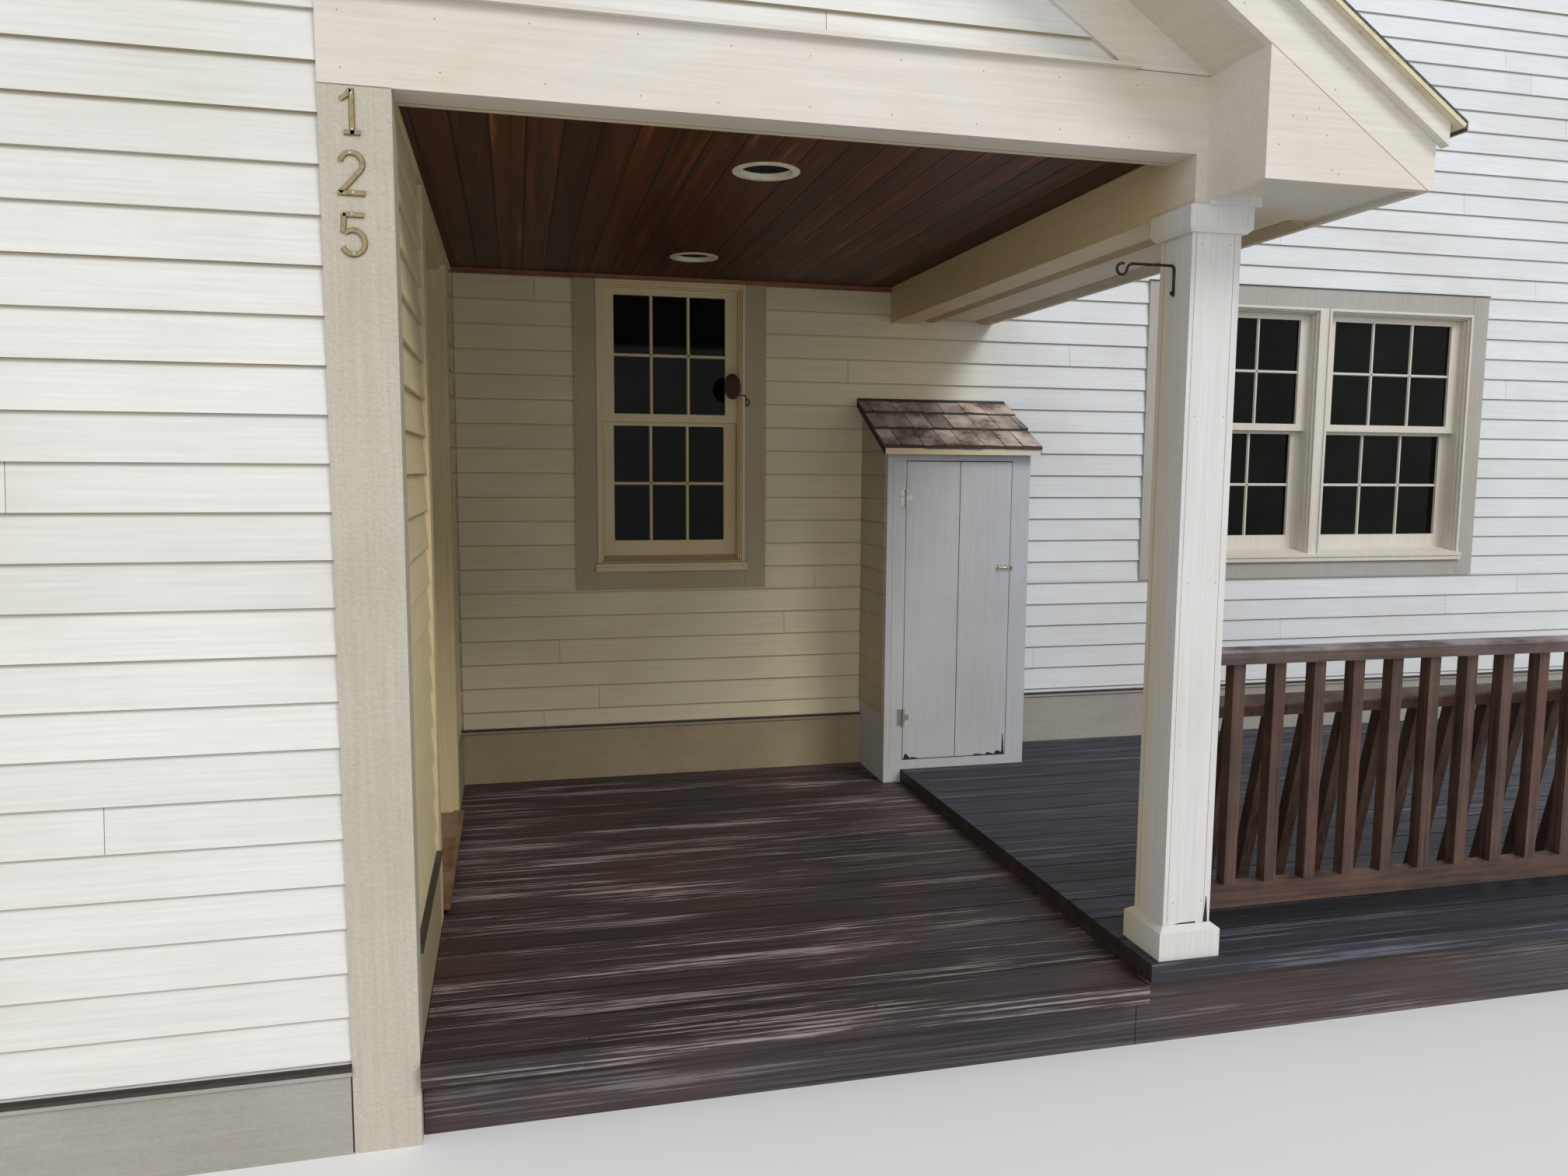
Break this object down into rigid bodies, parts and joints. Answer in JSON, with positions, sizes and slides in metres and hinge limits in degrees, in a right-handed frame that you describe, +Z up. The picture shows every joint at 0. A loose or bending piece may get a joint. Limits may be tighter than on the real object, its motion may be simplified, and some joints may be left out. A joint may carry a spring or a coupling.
{
  "type": "entrance porch",
  "caption": "Recessed gabled entrance porch with a boxed column, board ceiling, two deck levels, a railing and a hinged cabinet, against a stretch of clapboard house wall.",
  "frame": {"origin": "on the ground, in the middle of the footprint's box", "axes": "+X to the right along the front, +Y into the porch, +Z up; the front looks along -Y"},
  "size_m": [8.192, 2.73, 4.0181],
  "materials": {
    "cabinet_paint": "painted",
    "cedar": "weathered shingles",
    "ceiling_stain": "stained boards",
    "deck_wood": "weathered boards",
    "door_paint": "painted",
    "flashing": "dark drip strip",
    "floor_wood": "boards",
    "glass": "clear sheet",
    "iron": "black iron",
    "light_ring": "painted ring",
    "rail_stain": "stained, weathered",
    "roofing": "mineral shingles",
    "rusty_iron": "rusty",
    "siding": "painted clapboard",
    "stained_trim": "stained strip",
    "steel": "zinc plated",
    "threshold_wood": "oiled",
    "trim": "painted boards",
    "window_paint": "painted window"
  },
  "bodies": {
    "porch": {"house_wall": "siding", "wing_front_wall": "siding", "wing_side_wall": "siding", "porch_wall": "siding", "porch_wall_head": "siding", "wing_floor": "floor_wood", "gable_wall": "siding", "front_beam": "trim", "beam_cap": "trim", "side_beam": "trim", "ceiling_boards": "ceiling_stain", "ceiling_trim": "stained_trim", "ceiling_lights": "light_ring", "roof_right": "roofing", "roof_left": "roofing", "ridge_cap": "roofing", "rake_boards": "trim", "rake_friezes": "trim", "eave_returns": "trim", "soffits": "trim", "eave_fascias": "trim", "corner_boards": "trim", "skirt_boards": "trim", "drip_strips": "flashing", "deck_frames": "deck_wood", "deck_boards": "deck_wood", "platform_boards": "deck_wood", "column_shaft": "trim", "column_base": "trim", "column_capital": "trim", "plant_hook": "iron", "rail_top": "rail_stain", "rail_panels": "rail_stain", "rail_posts": "rail_stain", "inner_rail": "rail_stain", "window_casings": "trim", "window_frames": "window_paint", "window_sashes": "window_paint", "window_glass": "glass", "iron_disc": "rusty_iron", "entrance_casing": "trim", "entrance_door": "door_paint", "entrance_threshold": "threshold_wood", "cabinet_case": "cabinet_paint", "cabinet_roof": "cedar", "cabinet_fittings": "steel"},
    "door": {"cabinet_door": "cabinet_paint", "door_fittings": "steel"},
    "bolt": {"door_bolt": "steel"}
  },
  "joints": [
    {"name": "cabinet_door_hinge", "type": "hinge", "parent": "porch", "child": "door", "pos_m": [0.0965, 0.858, 0.9465], "axis": [0, 0, -1], "range_deg": [0, 110]},
    {"name": "bolt_slide", "type": "slide", "parent": "door", "child": "bolt", "axis": [1, 0, 0], "range_m": [0, 0.018]}
  ]
}
